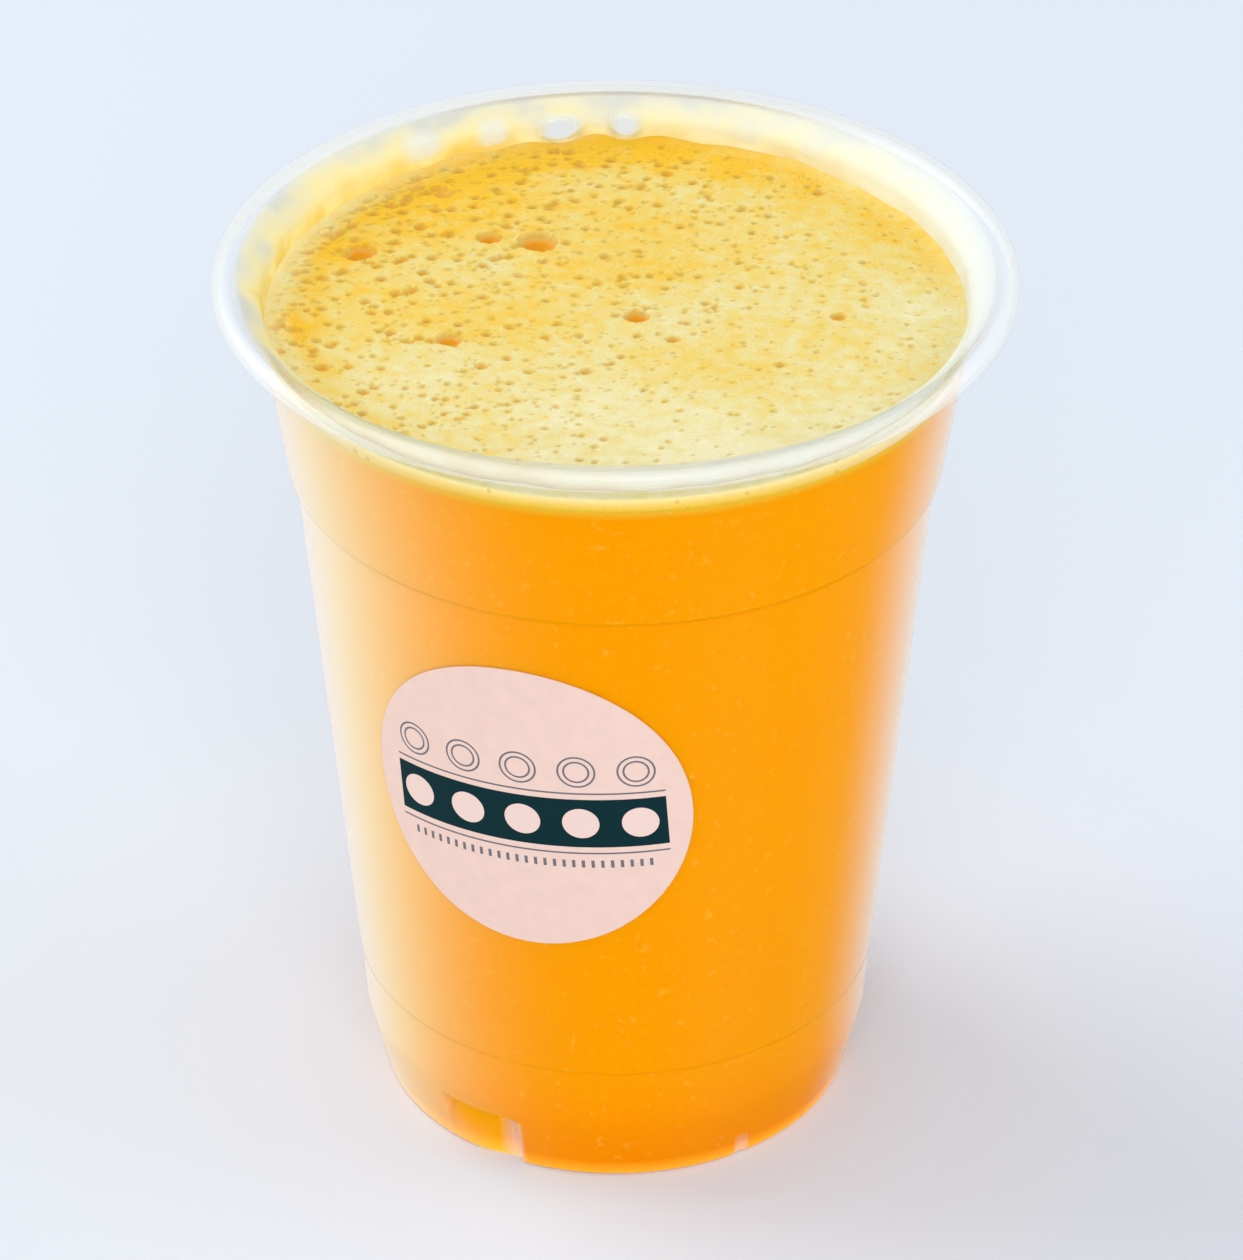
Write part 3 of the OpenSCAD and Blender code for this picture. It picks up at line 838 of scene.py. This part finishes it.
def stickerMaterial():
    material, tree, output = newMaterial("stickerPaper")
    flat = addNode(tree, "UVMap", {"uv_map": "flat"}).outputs["UV"]
    size = stickerDiameter()
    centred = addNode(tree, "Mapping", inputs={
        "Vector": flat, "Location": (-size / 2, -size / 2, 0), "Scale": (size, size, 1)})
    turned = addNode(tree, "VectorRotate", {"rotation_type": "Z_AXIS"}, {
        "Vector": centred.outputs[0], "Angle": -sticker["printTurn"] * turn})
    split = addNode(tree, "SeparateXYZ", inputs={0: turned.outputs[0]})
    x, y = split.outputs["X"], split.outputs["Y"]

    def between(value, low, high):
        above = maths(tree, "GREATER_THAN", value, low)
        return maths(tree, "MULTIPLY", above, maths(tree, "LESS_THAN", value, high))

    def repeated(value, pitch):
        # distance from the nearest multiple of the pitch
        return maths(tree, "PINGPONG", value, pitch / 2)

    def ring(dx, dy, low, high):
        squares = maths(tree, "MULTIPLY_ADD", dx, dx, maths(tree, "MULTIPLY", dy, dy))
        return between(maths(tree, "SQRT", squares), low, high)

    marks = stickerPrint
    across = between(x, *marks["reach"])
    lines = maths(tree, "ADD", between(y, *marks["upperLine"]), between(y, *marks["lowerLine"]))
    lines = maths(tree, "MULTIPLY", lines, across)
    band = maths(tree, "MULTIPLY", between(y, *marks["band"]), across)
    beside = repeated(x, marks["pitch"])
    dots = ring(beside, maths(tree, "SUBTRACT", y, marks["dotHeight"]), 0.0, marks["dotRadius"])
    above = maths(tree, "SUBTRACT", y, marks["hoopHeight"])
    hoops = ring(beside, above, *marks["innerHoop"])
    hoops = maths(tree, "ADD", hoops, ring(beside, above, *marks["outerHoop"]))
    hoops = maths(tree, "MULTIPLY", hoops, between(x, -marks["hoopReach"], marks["hoopReach"]))
    ticked = maths(tree, "LESS_THAN", repeated(x, marks["tickPitch"]), marks["tickHalf"])
    ticks = maths(tree, "MULTIPLY", between(y, *marks["ticks"]), ticked)
    ticks = maths(tree, "MULTIPLY", ticks, between(x, -marks["tickReach"], marks["tickReach"]))
    lines = maths(tree, "ADD", lines, ticks)

    place = addNode(tree, "TexCoord").outputs["Object"]
    paperGrain = addNode(tree, "TexNoise", inputs={
        "Vector": place, "Scale": 500.0, "Detail": 3.0}).outputs["Fac"]
    paper = ramp(tree, paperGrain, [(0.3, (0.775, 0.555, 0.475)), (0.7, (0.815, 0.585, 0.505))])
    teal = (0.002, 0.024, 0.029, 1)
    grey = (0.16, 0.15, 0.17, 1)
    colour = mixColours(tree, band, paper, teal)
    colour = mixColours(tree, maths(tree, "MULTIPLY", dots, band), colour, (0.80, 0.60, 0.53, 1))
    colour = mixColours(tree, lines, colour, grey)
    colour = mixColours(tree, hoops, colour, grey)
    shader = addNode(tree, "BsdfPrincipled", inputs={
        "Base Color": colour, "Roughness": 0.6, "Specular IOR Level": 0.06})
    tree.links.new(shader.outputs[0], output.inputs["Surface"])
    return material


def stickerDiameter():
    return (stickerHigh.z - stickerLow.z) * math.hypot(1, wallSlope)


def makeSticker():
    clearSelection()
    cells = sticker["cells"]
    bpy.ops.mesh.primitive_grid_add(x_subdivisions=cells, y_subdivisions=cells, size=2 * mm)
    patch = bpy.context.object
    patch.name = patch.data.name = "roundSticker"
    u, v = vertexPlaces(patch)[:, :2].T
    across = u * np.sqrt(1 - v * v / 2)
    up = v * np.sqrt(1 - u * u / 2)
    half = stickerDiameter() / 2
    middle = (stickerLow.z + stickerHigh.z) / 2
    z = middle + up * half / math.hypot(1, wallSlope)
    onWall = wallLine(z)
    angle = across * half / onWall
    radius = onWall + sticker["glue"]
    placeVertices(patch, np.stack([radius * np.sin(angle), -radius * np.cos(angle), z], axis=1))
    while patch.data.uv_layers:
        patch.data.uv_layers.remove(patch.data.uv_layers[0])
    flat = patch.data.uv_layers.new(name="flat")
    for loop in patch.data.loops:
        flat.data[loop.index].uv = (across[loop.vertex_index] / 2 + 0.5, up[loop.vertex_index] / 2 + 0.5)
    useOnly(patch)
    bpy.ops.object.mode_set(mode="EDIT")
    bpy.ops.mesh.select_all(action="SELECT")
    bpy.ops.mesh.normals_make_consistent(inside=False)
    bpy.ops.object.mode_set(mode="OBJECT")
    faceOutwards(patch)
    paper = patch.modifiers.new("paper", "SOLIDIFY")
    paper.thickness = sticker["thickness"] * mm
    paper.offset = 1
    applyModifiers(patch)
    finishPiece(patch, stickerMaterial(), "sticker", 40)


makeSticker()
print("sticker made")


# floor and soft light

def addFloor():
    clearSelection()
    bpy.ops.mesh.primitive_plane_add(size=6)
    floor = bpy.context.object
    floor.name = "floor"
    material, tree, output = newMaterial("paleTable")
    shader = addNode(tree, "BsdfPrincipled", inputs={
        "Base Color": (0.605, 0.65, 0.71, 1), "Roughness": 0.6, "Specular IOR Level": 0.1})
    tree.links.new(shader.outputs[0], output.inputs["Surface"])
    floor.data.materials.append(material)


lights = {
    # name: (place, size, watts, colour)
    "windowLeft": ((-1.2, 0.15, 1.0), 1.3, 13.0, (1.0, 0.98, 0.95)),
    "fillFront": ((0.3, -0.8, 0.6), 0.7, 4.5, (1.0, 0.97, 0.94)),
    "sideRight": ((1.25, 0.45, 0.8), 1.2, 4.5, (1.0, 0.97, 0.94)),
}


def addLights():
    for name, (place, size, watts, colour) in lights.items():
        light = bpy.data.lights.new(name, "AREA")
        light.shape = "DISK"
        light.size = size
        light.energy = watts
        light.color = colour
        lamp = bpy.data.objects.new(name, light)
        scene.collection.objects.link(lamp)
        lamp.location = place
        lamp.rotation_euler = (Vector((0, 0, 0.05)) - lamp.location).to_track_quat("-Z", "Y").to_euler()
    world = bpy.data.worlds.new("softRoom")
    scene.world = world
    world.use_nodes = True
    sky = world.node_tree.nodes["Background"]
    sky.inputs["Color"].default_value = (0.91, 0.95, 1.0, 1)
    sky.inputs["Strength"].default_value = 0.84


addFloor()
addLights()
print("floor and lights ready")
